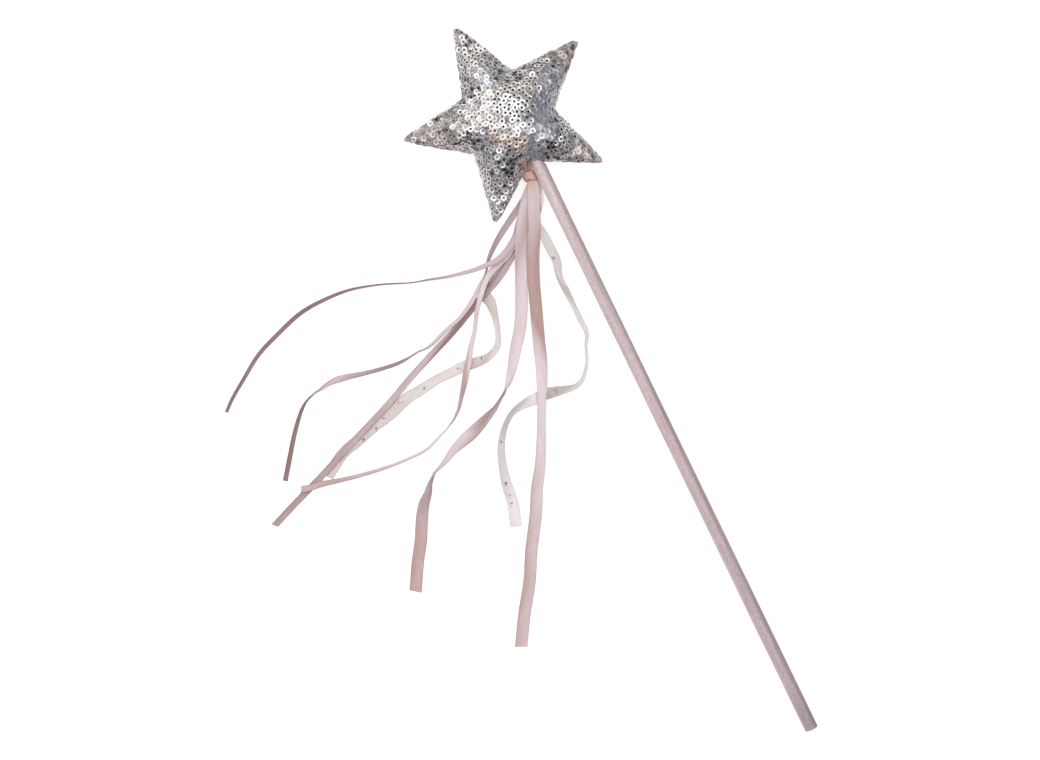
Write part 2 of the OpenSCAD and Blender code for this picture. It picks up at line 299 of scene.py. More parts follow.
def satin_material(name, light, dark):
    """Satin ribbon: shiny warp threads, fine cross ribs, painted light and shade along it and painted shade
    round the knot.
    """
    n = new_material(name)
    uv = n.ribbon_uv()
    tone = n.attribute("tone")["Fac"]
    warp = n.noise(uv, 1, 3, 0.6, stretch=(5, 0.25, 1))
    rib = n.wave(uv, "Y", 0.36, 0.3, Detail=1)
    # The tone holds painted light and shade: at 0 the dark colour paints the shaded satin, at 1 the light
    # colour the lit satin.
    share = n.swayed(tone, n.noise(uv, 1, stretch=(0.3, 0.06, 1)), 0.5)
    colour = n.colours(share, (0, *dark), (1, *light))
    colour = n.shade(0.35, colour, warp, 0.3, (196, 182, 182), 0.7)
    colour = n.shade(0.2, colour, rib, 0.1, (196, 178, 178), 0.8)
    # Painted shade round the knot: within a few millimetres of it the satin turns a darker, warmer rose.
    inputs = {0: n.place(), 1: tuple(KNOT * MM)}
    off = n.add("ShaderNodeVectorMath", inputs, operation="DISTANCE").outputs["Value"]
    colour = n.mix(n.fade(off, 4 * MM, 11 * MM, 0.6, 0), colour, rgba(206, 164, 154))
    height = n.scaled(rib, 0.8, n.math("MULTIPLY", warp, 0.5))
    return n.set(
        Base_Color=colour, Roughness=n.scaled(warp, 0.2, 0.34), Specular_IOR_Level=0.2,
        Anisotropic=0.4, Normal=n.bump(height, 0.3, 0.00008),
    )


def sheer_material():
    """Sheer ribbon: a fine open weave that lets the table show."""
    n = new_material("sheer_ribbon")
    uv = n.ribbon_uv()
    weave = n.math("MAXIMUM", n.wave(uv, "X", 0.6, 0.2), n.wave(uv, "Y", 0.6, 0.2))
    cloud = n.noise(uv, 1, stretch=(0.3, 0.1, 1))
    # The tone holds painted light and shade.
    share = n.swayed(n.attribute("tone")["Fac"], cloud, 0.6)
    colour = n.colours(share, (0, 176, 162, 154), (1, 224, 217, 218))
    colour = n.mix(n.math("MULTIPLY", weave, 0.25), colour, rgba(240, 234, 230))
    return n.set(
        Base_Color=colour, Roughness=0.45, Sheen_Weight=0.3, Alpha=n.scaled(weave, 0.25, 0.7),
        Normal=n.bump(weave, 0.2, 0.00006),
    )


def glitter_material():
    n = new_material("glitter_spots")
    fleck = n.noise(n.place(), 2500)
    colour = n.colours(fleck, (0.35, 88, 74, 74), (0.65, 190, 178, 176))
    return n.set(Base_Color=colour, Roughness=n.scaled(fleck, 0.3, 0.2), Metallic=0.6)


def floor_material():
    n = new_material("floor")
    grain = n.noise(n.place(), 220, 3)
    colour = n.colours(grain, (0.3, 158, 158, 158), (0.7, 164, 164, 164))
    return n.set(
        Base_Color=colour, Roughness=0.8, Normal=n.bump(grain, 0.05, 0.0002),
        Emission_Color=(1, 1, 1, 1), Emission_Strength=0.76,
    )


# ---- mesh helpers


def make_object(name, verts, faces, material, smooth=True):
    mesh = bpy.data.meshes.new(name)
    mesh.from_pydata([tuple(v) for v in verts], [], [tuple(f) for f in faces])
    mesh.materials.append(material)
    mesh.polygons.foreach_set("use_smooth", [smooth] * len(mesh.polygons))
    mesh.update()
    obj = bpy.data.objects.new(name, mesh)
    bpy.context.scene.collection.objects.link(obj)
    return obj


def on_wand(obj, slot, *nodes):
    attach(obj, WAND)
    if nodes:
        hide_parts(*nodes)


def unit(v):
    return v / np.maximum(np.linalg.norm(v, axis=-1, keepdims=True), 1e-12)


def run_along(line):
    """The length along a line up to each of its points."""
    return np.r_[0, np.cumsum(np.linalg.norm(np.diff(line, axis=0), axis=1))]


def ring_of(sides, middle, a, b, radius):
    """A circle of points about a middle, in the plane of two directions."""
    turns = [k * math.tau / sides for k in range(sides)]
    return [middle + (a * math.cos(t) + b * math.sin(t)) * radius for t in turns]


def tube_faces(base, rings, sides):
    """The faces of a closed tube whose rings of points start at number base."""
    faces = [tuple(base + k for k in reversed(range(sides)))]
    for low in range(base, base + (rings - 1) * sides, sides):
        for k in range(sides):
            q, w = low + k, low + (k + 1) % sides
            faces.append((q, w, w + sides, q + sides))
    return faces + [tuple(base + (rings - 1) * sides + k for k in range(sides))]


# ---- star


def mount(name):
    return next(m for m in frame["record"]["mounts"] if m["name"] == name)


STAR_CENTRE = np.array(mount("star_rest")["pos_m"])
STAR_TURN = math.radians(4)
front_low, front_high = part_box("star_front")
SEAM_Z = front_low[2]
STAR_R = (front_high[1] - STAR_CENTRE[1]) / math.cos(STAR_TURN) - 0.4 * MM
NOTCH_R = 0.46 * STAR_R
TIP_ROUND = 1.9 * MM
NOTCH_ROUND = 1.5 * MM
TIP_PAST = 2.3 * MM  # how far the sharp corner, before it is rounded, lies past STAR_R
FRONT_PUFF = front_high[2] - SEAM_Z - 1.2 * MM
BACK_PUFF = SEAM_Z + 1.0 * MM
BACK_CLEAR = 0.45 * MM
FLAT_FROM = 0.8  # share of the way down to the table where the back starts to flatten
MOUTH_PLAY = 0.5 * MM
GRID = 1.7 * MM
SHEET_HALF = 60 * MM
EDGE_STEP = 1.3 * MM
EDGE_WAVES = ((0.12, 7.3), (0.1, 11.9))  # height and length, in millimetres
CLOTH = dict(
    quality=6, mass=0.2, tension_stiffness=12, compression_stiffness=12, bending_stiffness=0.15,
    use_pressure=True, uniform_pressure_force=4, vertex_group_mass="seam", shrink_min=-0.05,
)
SIM_FRAMES = 16
PUCKER_MOST = 1.3 * MM
PANEL_T = 0.3 * MM
FILLING_SCALE = (0.955, 0.955, 0.93)
SEAM_THREAD_R, CLOSING_THREAD_R = 0.14 * MM, 0.2 * MM
MOUTH_REACH = 8 * MM

stick_low, stick_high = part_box("stick")
STICK_R = (stick_high[0] - stick_low[0]) / 2
STICK_X = (stick_high[0] + stick_low[0]) / 2
STICK_BUTT = np.array([STICK_X, stick_low[1], STICK_R])
STICK_DIR = -np.array(mount("stick_butt")["axis"])
STICK_DIR /= np.linalg.norm(STICK_DIR)


def star_outline():
    """The seam's points about the star's centre, anticlockwise, with round tips and notches."""
    def at(radius, angle):
        return np.array([math.cos(angle), math.sin(angle)]) * radius

    corners = []
    for k in range(5):
        tip = math.pi / 2 + STAR_TURN + k * math.tau / 5
        corners.append((at(NOTCH_R, tip - math.pi / 5), NOTCH_ROUND))
        corners.append((at(STAR_R + TIP_PAST, tip), TIP_ROUND))
    points = []
    for i, (corner, radius) in enumerate(corners):
        before = unit(corners[i - 1][0] - corner)
        after = unit(corners[(i + 1) % 10][0] - corner)
        half = math.acos(float(before @ after)) / 2
        back = radius / math.tan(half)
        start, end = corner + before * back, corner + after * back
        for t in np.linspace(0, 1, 6):
            points.append((1 - t) ** 2 * start + 2 * t * (1 - t) * corner + t**2 * end)
    loop = np.array(points + points[:1])
    lengths = run_along(loop)
    count = int(round(lengths[-1] / EDGE_STEP))
    places = np.linspace(0, lengths[-1], count, endpoint=False)
    even = np.stack([np.interp(places, lengths, loop[:, i]) for i in (0, 1)], axis=1)
    wave = sum(size * MM * np.sin(places * math.tau / (length * MM)) for size, length in EDGE_WAVES)
    return even + unit(even) * wave[:, None]


def inside(points, loop):
    """Which points lie inside a closed outline."""
    x, y = points[:, 0:1], points[:, 1:2]
    a, b = loop, np.roll(loop, -1, axis=0)
    crosses = (a[:, 1] > y) != (b[:, 1] > y)
    slope = (b[:, 0] - a[:, 0]) / np.where(b[:, 1] == a[:, 1], 1e-12, b[:, 1] - a[:, 1])
    return (crosses & (x < a[:, 0] + (y - a[:, 1]) * slope)).sum(axis=1) % 2 == 1


def nearest_on(points, loop):
    """The closest place on an outline to each point, and how far off it is."""
    a, b = loop, np.roll(loop, -1, axis=0)
    d = b - a
    t = np.clip(((points[:, None] - a) * d).sum(-1) / (d * d).sum(-1), 0, 1)
    spots = a + d * t[..., None]
    far = np.linalg.norm(points[:, None] - spots, axis=-1)
    best = far.argmin(axis=1)
    rows = np.arange(len(points))
    return spots[rows, best], far[rows, best]


def star_sheet():
    """One panel, flat: its points, its triangles and how many of the points lie on the edge."""
    loop = star_outline()
    span = np.arange(-SHEET_HALF, SHEET_HALF, GRID)
    rows = [
        np.stack([span + (GRID / 2 if i % 2 else 0), np.full_like(span, y)], axis=1)
        for i, y in enumerate(np.arange(-SHEET_HALF, SHEET_HALF, GRID * math.sqrt(3) / 2))
    ]
    grid = np.concatenate(rows)
    grid = grid[inside(grid, loop)]
    grid = grid[nearest_on(grid, loop)[1] > 0.55 * GRID]
    points = np.concatenate([loop, grid])
    edges = [(i, (i + 1) % len(loop)) for i in range(len(loop))]
    verts, _, faces, *_ = delaunay_2d_cdt([Vector(p) for p in points], edges, [], 1, 1e-9)
    return np.array([(v.x, v.y) for v in verts]), np.array([tuple(f) for f in faces]), len(loop)


def puffed(points, faces, edge_count):
    """The height of a skin blown up over the outline, from 0 at the seam to 1 at its fullest."""
    n = len(points)
    p = points[faces]
    area = 0.5 * np.abs(
        (p[:, 1, 0] - p[:, 0, 0]) * (p[:, 2, 1] - p[:, 0, 1])
        - (p[:, 2, 0] - p[:, 0, 0]) * (p[:, 1, 1] - p[:, 0, 1])
    )
    opposite = np.stack([p[:, 2] - p[:, 1], p[:, 0] - p[:, 2], p[:, 1] - p[:, 0]], axis=1)
    stiffness, load = np.zeros((n, n)), np.zeros(n)
    for i in range(3):
        np.add.at(load, faces[:, i], area / 3)
        for j in range(3):
            value = (opposite[:, i] * opposite[:, j]).sum(-1) / (4 * area)
            np.add.at(stiffness, (faces[:, i], faces[:, j]), value)
    free = np.arange(edge_count, n)
    height = np.zeros(n)
    height[free] = np.linalg.solve(stiffness[np.ix_(free, free)], load[free])
    return np.sqrt(height / height.max())


def blown_up(verts, faces, edge_count):
    """Blows up the stuffed cloth, cut a little larger than its seam, so that it puckers there."""
    obj = make_object("star_cloth_sim", verts, faces, bpy.data.materials.new("sim"))
    group = obj.vertex_groups.new(name="seam")
    group.add(list(range(edge_count)), 1.0, "REPLACE")
    cloth = obj.modifiers.new("cloth", "CLOTH")
    for key, value in CLOTH.items():
        setattr(cloth.settings, key, value)
    cloth.settings.effector_weights.gravity = 0
    cloth.collision_settings.use_collision = False
    scene = bpy.context.scene
    for f in range(1, SIM_FRAMES + 1):
        scene.frame_set(f)
    evaluated = obj.evaluated_get(bpy.context.evaluated_depsgraph_get())
    moved = np.empty(len(verts) * 3)
    evaluated.data.vertices.foreach_get("co", moved)
    scene.frame_set(1)
    bpy.data.objects.remove(obj)
    step = moved.reshape(-1, 3) - verts
    size = np.linalg.norm(step, axis=1, keepdims=True)
    return verts + step * np.minimum(1, PUCKER_MOST / np.maximum(size, 1e-9))


def beside_stick(points):
    """How far each point is aside of the stick's axis, and how high the axis is there."""
    along = (points - STICK_BUTT) @ STICK_DIR
    return points[:, 0] - STICK_X, STICK_BUTT[2] + along * STICK_DIR[2]


def closed_skin(front, back, faces, edge_count):
    """Both panels as one closed skin, joined along the edge that they share."""
    n = len(front)
    number = np.r_[np.arange(edge_count), np.arange(n, 2 * n - edge_count)]
    verts = np.concatenate([front, back[edge_count:]])
    return verts, np.concatenate([faces, number[faces[:, ::-1]]])


def shape_star():
    """Front and back panels as points over the same triangles, opened round the stick."""
    flat, faces, edge_count = star_sheet()
    height = puffed(flat, faces, edge_count)
    xy = flat + STAR_CENTRE[:2]
    front = np.column_stack([xy, SEAM_Z + FRONT_PUFF * height])
    drop = BACK_PUFF * height
    floor_drop = SEAM_Z - BACK_CLEAR
    over = np.maximum(drop - FLAT_FROM * floor_drop, 0)
    soft = 0.2 * floor_drop
    drop = np.where(over > 0, FLAT_FROM * floor_drop + soft * (1 - np.exp(-over / soft)), drop)
    back = np.column_stack([xy, SEAM_Z - drop])
    skin = blown_up(*closed_skin(front, back, faces, edge_count), edge_count)
    front, back = skin[:len(flat)], np.concatenate([skin[:edge_count], skin[len(flat):]])
    back[:, 2] = np.maximum(back[:, 2], BACK_CLEAR)
    reach = STICK_R + MOUTH_PLAY
    for panel, sign in ((front, 1), (back, -1)):
        side, axis_z = beside_stick(panel)
        wanted = axis_z + sign * np.sqrt(np.maximum(reach**2 - side**2, 0))
        rise = np.maximum(sign * (wanted - panel[:, 2]), 0)
        panel[:, 2] += sign * np.where(np.abs(side) < reach, rise, 0)
    return faces, edge_count, front, back


def add_panel(name, points, faces, node, material):
    obj = make_object(name, points, faces, material)
    solid = obj.modifiers.new("thickness", "SOLIDIFY")
    solid.thickness = PANEL_T
    solid.offset = -1
    on_wand(obj, "sequin_cloth", node)


def add_stuffing(front, back, faces, edge_count, material):
    """The fibre filling, a little inside both panels."""
    verts, all_faces = closed_skin(front, back, faces, edge_count)
    verts[:edge_count, 2] = SEAM_Z
    middle = np.array([*STAR_CENTRE[:2], SEAM_Z])
    obj = make_object("star_filling", middle + (verts - middle) * FILLING_SCALE, all_faces, material)
    on_wand(obj, "stuffing", "star_stuffing")


SEQUIN_SEED = 20
SEQUIN_TRIES = 26000
SEQUIN_R = 1.48 * MM
SEQUIN_HOLE = 0.4 * MM
SEQUIN_T = 0.09 * MM
SEQUIN_CUP = 0.12 * MM
SEQUIN_GAP = 1.95 * MM
OVERHANG = 0.35 * MM
# No sequin lies this close to the outline and to the seam's height at once.
BARE_EDGE, BARE_HEIGHT = 0.5 * MM, 0.9 * MM
PRESSED_Z = 2.2 * MM  # below this the table presses the sequins flat
TABLE_GAP = 0.02 * MM


def scattered(points, faces, rng):
    """Places spread over a surface, at least the sequins' gap apart, with the normals there."""
    tri = points[faces]
    cross = np.cross(tri[:, 1] - tri[:, 0], tri[:, 2] - tri[:, 0])
    area = np.linalg.norm(cross, axis=1)
    vertex_normal = np.zeros_like(points)
    for i in range(3):
        np.add.at(vertex_normal, faces[:, i], cross)
    vertex_normal = unit(vertex_normal)
    pick = rng.choice(len(faces), size=SEQUIN_TRIES, p=area / area.sum())
    r1, r2 = np.sqrt(rng.random(len(pick))), rng.random(len(pick))
    weights = np.stack([1 - r1, r1 * (1 - r2), r1 * r2], axis=1)
    places = (tri[pick] * weights[..., None]).sum(axis=1)
    normals = unit((vertex_normal[faces[pick]] * weights[..., None]).sum(axis=1))
    cells, kept = {}, []
    for i, p in enumerate(places):
        key = tuple((p // SEQUIN_GAP).astype(int))
        close = (
            j
            for dx in (-1, 0, 1) for dy in (-1, 0, 1) for dz in (-1, 0, 1)
            for j in cells.get((key[0] + dx, key[1] + dy, key[2] + dz), ())
        )
        if all(((places[j] - p) ** 2).sum() >= SEQUIN_GAP**2 for j in close):
            cells.setdefault(key, []).append(i)
            kept.append(i)
    return places[kept], normals[kept]


def ring_shape(segments):
    """One sequin on z = 0: a dished washer with a floor to its hole that carries painted shade, as points
    and faces.
    """
    angles = np.arange(segments) * math.tau / segments
    circle = np.stack([np.cos(angles), np.sin(angles), np.zeros(segments)], axis=1)
    levels = [
        (SEQUIN_HOLE, SEQUIN_T), (SEQUIN_R, SEQUIN_T + SEQUIN_CUP),
        (SEQUIN_R, SEQUIN_CUP), (SEQUIN_HOLE, 0.0),
    ]
    # A disc that closes the hole, there only to carry near black painted shade.
    shaded_hole_floor = [[0, 0, 0.02 * MM]]
    verts = np.concatenate([circle * r + [0, 0, z] for r, z in levels] + [shaded_hole_floor])
    faces = []
    for i in range(segments):
        j = (i + 1) % segments
        for k in range(4):
            a, b = k * segments, (k + 1) % 4 * segments
            faces += [(a + i, b + i, b + j), (a + i, b + j, a + j)]
        faces.append((4 * segments, j, i))
    return verts, np.array(faces)


BRIGHT, PALE, LAVENDER, SLATE, INK, PEACH, BEIGE, BROWN = (
    np.array(rgb(*c)) for c in (
        (250, 248, 246), (232, 229, 228), (214, 213, 222), (196, 195, 204),
        (136, 134, 139), (246, 220, 207), (218, 209, 204), (178, 168, 168),
    )
)
# Patches of painted reflection and shade on the foil: place (right, up) and reach, in star radii as the
# camera sees the star, colour, how strongly the rings' painted highlight and shadow stand out, and the share
# of the sequins there that take the colour.
PAINTED_FOIL_PATCHES = (
    (-0.38, 0.66, 0.26, PALE, 0.9, 0.8), (-0.24, 0.38, 0.12, LAVENDER, 0.5, 0.8),
    (-0.36, -0.02, 0.18, PALE, 0.5, 0.5), (0.05, 0.1, 0.17, BRIGHT, 1, 0.9),
    (0.18, 0.32, 0.12, BRIGHT, 0.9, 0.8), (0.34, 0.53, 0.09, BRIGHT, 1, 0.8),
    (0.56, -0.14, 0.2, BRIGHT, 1, 0.9), (0.58, 0.62, 0.2, BROWN, 0.6, 0.75),
    (0.53, 0.4, 0.1, BEIGE, 0.5, 0.8), (0.78, -0.28, 0.17, BEIGE, 0.5, 0.8),
    (-0.7, -0.16, 0.25, BEIGE, 0.6, 0.5), (-0.05, -0.72, 0.3, PALE, 0.8, 0.75),
    (-0.2, -0.6, 0.13, BRIGHT, 0.9, 0.7), (0.4, 0.38, 0.12, SLATE, 0.4, 0.95),
    (0.36, 0.18, 0.11, SLATE, 0.3, 0.95), (0.35, 0, 0.11, SLATE, 0.3, 0.95),
    (0.4, -0.13, 0.1, SLATE, 0.3, 0.9), (0.24, -0.22, 0.1, SLATE, 0.4, 0.95),
    (0.3, -0.36, 0.1, SLATE, 0.5, 0.9), (-0.03, 0.43, 0.07, SLATE, 0.3, 0.9),
    (-0.12, -0.3, 0.16, SLATE, 0.7, 0.6), (-0.11, -0.18, 0.09, PEACH, 0.8, 0.6),
    (0.08, -0.24, 0.1, PEACH, 0.9, 0.6), (0.18, -0.45, 0.08, PEACH, 0.8, 0.6),
    (-0.62, -0.28, 0.06, PEACH, 0.8, 0.7), (-0.35, 0.2, 0.09, INK, 1, 0.5), (-0.47, 0.45, 0.06, INK, 1, 0.5),
    (-0.33, -0.24, 0.11, INK, 1, 0.4), (0.02, -0.42, 0.12, INK, 1, 0.6), (-0.05, -0.6, 0.1, INK, 1, 0.2),
    (0.4, -0.3, 0.07, INK, 1, 0.4), (0.5, 0.5, 0.06, INK, 1, 0.4), (-0.5, 0.85, 0.06, INK, 1, 0.4),
    (-0.88, -0.19, 0.16, BROWN, 0.5, 0.6),
)


def sequin_tints(places, rng):
    """The colour of each sequin, with patches of painted reflection and shade, and fourth, how far its
    painted rim highlight and shadow outline stand out.
    """
    local = (places[:, :2] - STAR_CENTRE[:2]) / STAR_R
    c, s = math.cos(PHOTO_ROLL), math.sin(PHOTO_ROLL)
    right, up = local @ np.array([c, s]), local @ np.array([-s, c])
    n = len(places)
    draw = rng.random((n, 4))
    tint = np.array(rgb(220, 216, 215)) * (0.6 + 0.6 * draw[:, :1])
    tint = np.where(draw[:, 1:2] < 0.12, BRIGHT, tint)
    tint = np.where(draw[:, 1:2] > 0.95, INK, tint)
    stand = 0.55 + 0.45 * draw[:, 2]
    # Each patch paints its colour of reflected light and shade onto the sequins near it.
    for x, y, reach, colour, ring, share in PAINTED_FOIL_PATCHES:
        near = np.exp(-(((right - x) ** 2 + (up - y) ** 2) / reach**2) ** 2)
        taken = rng.random(n) < share * near * 1.15
        tint = np.where(taken[:, None], colour * rng.uniform(0.75, 1.08, (n, 1)), tint)
        stand = np.where(taken, ring, stand)
    return np.column_stack([np.minimum(tint, 1), stand])


def add_sequins(name, points, faces, outline, seed, segments, material, on_table=False):
    """The sequins of one panel as one object, each tilted a little by chance."""
    rng = np.random.default_rng(seed)
    places, normals = scattered(points, faces, rng)
    _, from_edge = nearest_on(places[:, :2], outline)
    kept = (from_edge > BARE_EDGE) | (np.abs(places[:, 2] - SEAM_Z) > BARE_HEIGHT)
    places, normals = places[kept], normals[kept]
    n = len(places)
    tints = sequin_tints(places, rng)
    tilt = rng.normal(0, 0.05, (n, 2)) + rng.normal(0, 0.14, (n, 2)) * tints[:, 3:]
    wild = rng.random(n) < 0.05
    tilt[wild] *= 3.0
    resting = on_table & (places[:, 2] < PRESSED_Z)
    tilt[resting] *= 0.12
    side = unit(np.cross(normals, [0.31, 0.95, 0.05]))
    other = np.cross(normals, side)
    axis = unit(normals + side * tilt[:, :1] + other * tilt[:, 1:])
    side = unit(np.cross(other, axis))
    other = np.cross(axis, side)
    lift = rng.uniform(0.1, 0.45, n) * MM
    lift[resting] = rng.uniform(0.02, 0.1, resting.sum()) * MM
    verts, ring_faces = ring_shape(segments)
    centre = places + normals * lift[:, None]
    frames = np.stack([side, other, axis], axis=1)
    world = (centre[:, None] + verts @ frames).reshape(-1, 3)
    world[:, 2] = np.maximum(world[:, 2], TABLE_GAP)
    caught, far = nearest_on(world[:, :2], outline)
    past = ~inside(world[:, :2], outline) & (far > OVERHANG)
    held = (OVERHANG / far[past])[:, None]
    world[past, :2] = caught[past] + (world[past, :2] - caught[past]) * held
    all_faces = (ring_faces[None] + (np.arange(n) * len(verts))[:, None, None]).reshape(-1, 3)
    obj = make_object(name, world, all_faces, material)
    mesh = obj.data
    tint = mesh.attributes.new("tint", "FLOAT_COLOR", "POINT")
    tint.data.foreach_set("color", np.repeat(tints, len(verts), axis=0).ravel())
    across = mesh.attributes.new("across", "FLOAT", "POINT")
    # The floor of each hole gets 0, where the foil's ramp paints near black shade.
    out_to_lip = np.r_[np.repeat([0.0, 1.0, 1.0, 0.0], segments), 0.0]
    across.data.foreach_set("value", np.tile(out_to_lip, n))
    ends = np.empty(len(mesh.edges) * 2, int)
    mesh.edges.foreach_get("vertices", ends)
    level = (ends.reshape(-1, 2) % len(verts)) // segments
    sharp = mesh.attributes.new("sharp_edge", "BOOLEAN", "EDGE")
    sharp.data.foreach_set("value", level[:, 0] == level[:, 1])
    on_wand(obj, "sequins")


def bent_threads(name, paths, radius, material, node):
    """Short pieces of round thread in one object, each along its own points."""
    sides = 8
    verts, faces = [], []
    for path in paths:
        along = unit(np.gradient(path, axis=0))
        helper = np.array([0.2, 0.3, 0.93]) if abs(along[0][2]) < 0.9 else np.array([1.0, 0, 0])
        a = unit(np.cross(along, helper))
        b = np.cross(along, a)
        faces += tube_faces(len(verts), len(path), sides)
        for i, p in enumerate(path):
            verts += ring_of(sides, p, a[i], b[i], radius * (0.75 if i in (0, len(path) - 1) else 1.0))
    on_wand(make_object(name, verts, faces, material), "thread", node)


def seam_threads(front, edge_count, material):
    """Overcast stitches: each loops over the seam's edge, a little aslant, and longer at the mouth."""
    edge = front[:edge_count]
    ahead = np.roll(edge, -1, axis=0) - edge
    out = unit(np.column_stack([ahead[:, 1], -ahead[:, 0], np.zeros(edge_count)]))
    seam, closing = [], []
    mouth = np.array([STICK_X - 3.2 * MM, STAR_CENTRE[1] - NOTCH_R])
    for i in range(0, edge_count, 2):
        p = edge[i] * [1, 1, 0] + [0, 0, SEAM_Z]
        slant = unit(ahead[i]) * 0.5 * MM
        near_mouth = np.linalg.norm(p[:2] - mouth) < MOUTH_REACH
        if abs(p[0] - STICK_X) < STICK_R + 1 * MM and near_mouth:
            continue
        reach = (0.8 if near_mouth else 0.55) * MM
        loop = []
        for t in np.linspace(-1.25, 1.25, 7):
            aside, rise = math.cos(t) * reach - 0.3 * MM, UP * math.sin(t) * reach * 1.5
            loop.append(p + out[i] * aside + rise + slant * math.sin(t))
        (closing if near_mouth else seam).append(loop)
    bent_threads("seam_thread", seam, SEAM_THREAD_R, material, "seam_stitches")
    bent_threads("closing_thread", closing, CLOSING_THREAD_R, material, "closing_stitches")


def build_star():
    faces, edge_count, front, back = shape_star()
    cloth, foil, thread = cloth_material(), sequin_material(), thread_material()
    add_panel("star_front_cloth", front, faces, "star_front", cloth)
    add_panel("star_back_cloth", back, faces[:, ::-1], "star_back", cloth)
    add_stuffing(front, back, faces, edge_count, fibre_material())
    outline = front[:edge_count, :2]
    add_sequins("front_sequins", front, faces, outline, SEQUIN_SEED, 18, foil)
    add_sequins("back_sequins", back, faces[:, ::-1], outline, SEQUIN_SEED + 1, 12, foil, on_table=True)
    seam_threads(front, edge_count, thread)


# ---- ribbons

WIDE, NARROW, SHEER = 6 * MM, 3.2 * MM, 5.6 * MM
TAIL_T = 0.22 * MM
STEP = 0.45 * MM
EDGE_SHADE = 0.32
# The knot's turn: half its width and height in millimetres, and where it starts, in radians.
KNOT_WIDE, KNOT_HIGH, KNOT_START = 3.05, 2.55, 2.2
TAIL_CLEAR = 0.14  # height of a flat tail's middle, in millimetres

